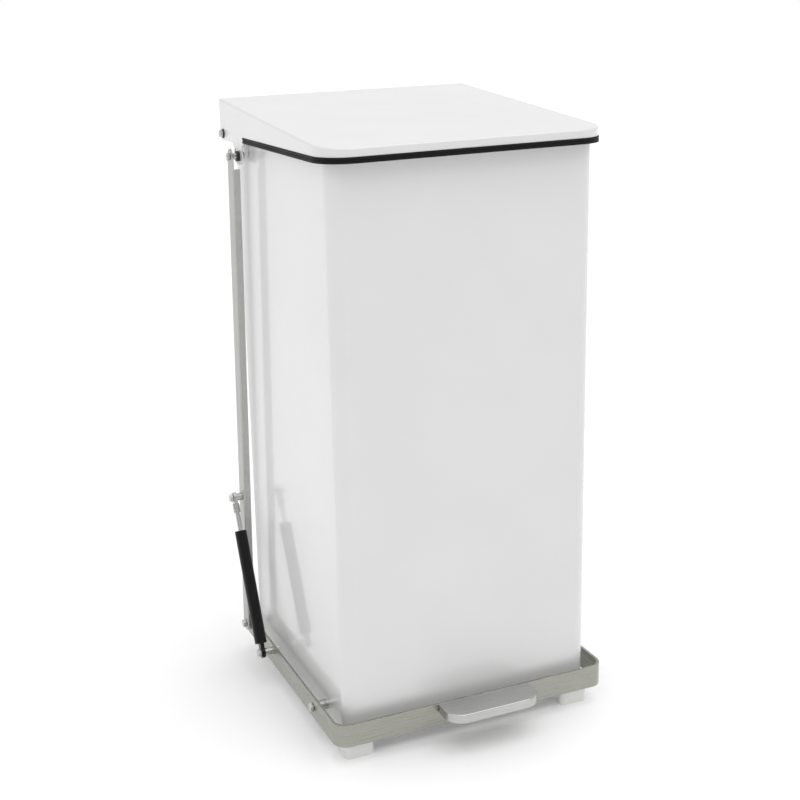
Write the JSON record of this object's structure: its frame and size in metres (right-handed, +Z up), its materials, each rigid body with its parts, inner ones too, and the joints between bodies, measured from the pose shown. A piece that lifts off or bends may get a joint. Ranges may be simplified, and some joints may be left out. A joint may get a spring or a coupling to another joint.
{
  "type": "step_on_waste_receptacle",
  "caption": "Tall white painted-steel step-on waste receptacle: square cabinet, sloping lid, rubber gasket, foot lever, lift rod and damper",
  "frame": {"origin": "Centre of the overall footprint, on the floor under the feet.", "axes": "+Z up, -Y out of the front where the foot plate is, +X to the right seen from the front."},
  "size_m": [0.3924, 0.4002, 0.762],
  "materials": {
    "painted_sheet": "smooth_gloss",
    "feet_painted": "smooth_satin",
    "stainless_strip": "satin",
    "gasket_rubber": "matte",
    "black_fittings": "satin",
    "plated_fasteners": "zinc_plated",
    "damper_rod_chrome": "polished",
    "liner_steel": "galvanised"
  },
  "bodies": {
    "cabinet": {"body_shell": "painted_sheet", "base_pan": "painted_sheet", "foot_front_left": "feet_painted", "foot_front_right": "feet_painted", "foot_rear_left": "feet_painted", "foot_rear_right": "feet_painted", "liner": "liner_steel", "bracket_bolts": "plated_fasteners", "bracket_nuts": "plated_fasteners", "hinge_bracket_left": "plated_fasteners", "hinge_bracket_right": "plated_fasteners", "hinge_bolt_left": "plated_fasteners", "hinge_bolt_right": "plated_fasteners", "hinge_spacer_left": "plated_fasteners", "hinge_spacer_right": "plated_fasteners", "hinge_nut_left": "plated_fasteners", "hinge_nut_right": "plated_fasteners", "lever_pivot_bolt_left": "plated_fasteners", "lever_pivot_bolt_right": "plated_fasteners", "lever_pivot_spacer_left": "plated_fasteners", "lever_pivot_spacer_right": "plated_fasteners", "lever_pivot_nut_left": "plated_fasteners", "lever_pivot_nut_right": "plated_fasteners"},
    "lid": {"lid_shell": "painted_sheet", "lid_gasket": "gasket_rubber", "lid_bush_left": "black_fittings", "lid_bush_right": "black_fittings"},
    "pedal_lever": {"pedal_lever": "stainless_strip", "pedal_plate": "stainless_strip", "pedal_bracket": "stainless_strip", "pedal_studs": "plated_fasteners", "pedal_nuts": "plated_fasteners", "lift_bolt_lower": "plated_fasteners", "lift_spacer_lower": "plated_fasteners", "lift_nut_lower": "plated_fasteners", "damper_stud_lower": "plated_fasteners", "damper_spacer_lower": "plated_fasteners", "damper_nut_lower": "plated_fasteners"},
    "lift_rod": {"lift_rod": "stainless_strip", "lift_bolt_upper": "plated_fasteners", "lift_spacer_upper": "plated_fasteners", "lift_washers_upper": "black_fittings", "lift_nut_upper": "plated_fasteners", "damper_stud_upper": "plated_fasteners", "damper_spacer_upper": "plated_fasteners", "damper_nut_upper": "plated_fasteners"},
    "damper_cylinder": {"damper_tube": "black_fittings", "damper_gland": "black_fittings", "damper_lower_eye": "black_fittings"},
    "damper_rod": {"damper_rod": "damper_rod_chrome", "damper_piston": "black_fittings", "damper_upper_eye": "plated_fasteners"}
  },
  "joints": [
    {"name": "pedal_pivot", "type": "hinge", "parent": "cabinet", "child": "pedal_lever", "pos_m": [0.0082, -0.0829, 0.0403], "axis": [1, 0, 0], "range_deg": [0, 14.53]},
    {"name": "lid_hinge", "type": "hinge", "parent": "cabinet", "child": "lid", "pos_m": [0.0082, 0.1881, 0.7182], "axis": [-1, 0, 0], "range_deg": [0, 60.2]},
    {"name": "rod_pivot", "type": "hinge", "parent": "pedal_lever", "child": "lift_rod", "pos_m": [-0.1778, 0.1671, 0.0403], "axis": [-1, 0, 0], "range_deg": [0, 16.3]},
    {"name": "damper_swing", "type": "hinge", "parent": "pedal_lever", "child": "damper_cylinder", "pos_m": [-0.1888, 0.0651, 0.0463], "axis": [-1, 0, 0], "range_deg": [0, 12.74]},
    {"name": "damper_stroke", "type": "slide", "parent": "damper_cylinder", "child": "damper_rod", "axis": [0, 0.4342, 0.9008], "range_m": [0, 0.02543]}
  ],
  "couplings": [
    {"joint": "lid_hinge", "follows": "pedal_pivot", "ratio": 4.1281},
    {"joint": "rod_pivot", "follows": "pedal_pivot", "ratio": 1.1078},
    {"joint": "damper_swing", "follows": "pedal_pivot", "ratio": 0.86291},
    {"joint": "damper_stroke", "follows": "pedal_pivot", "m_per_rad": 0.099058}
  ]
}
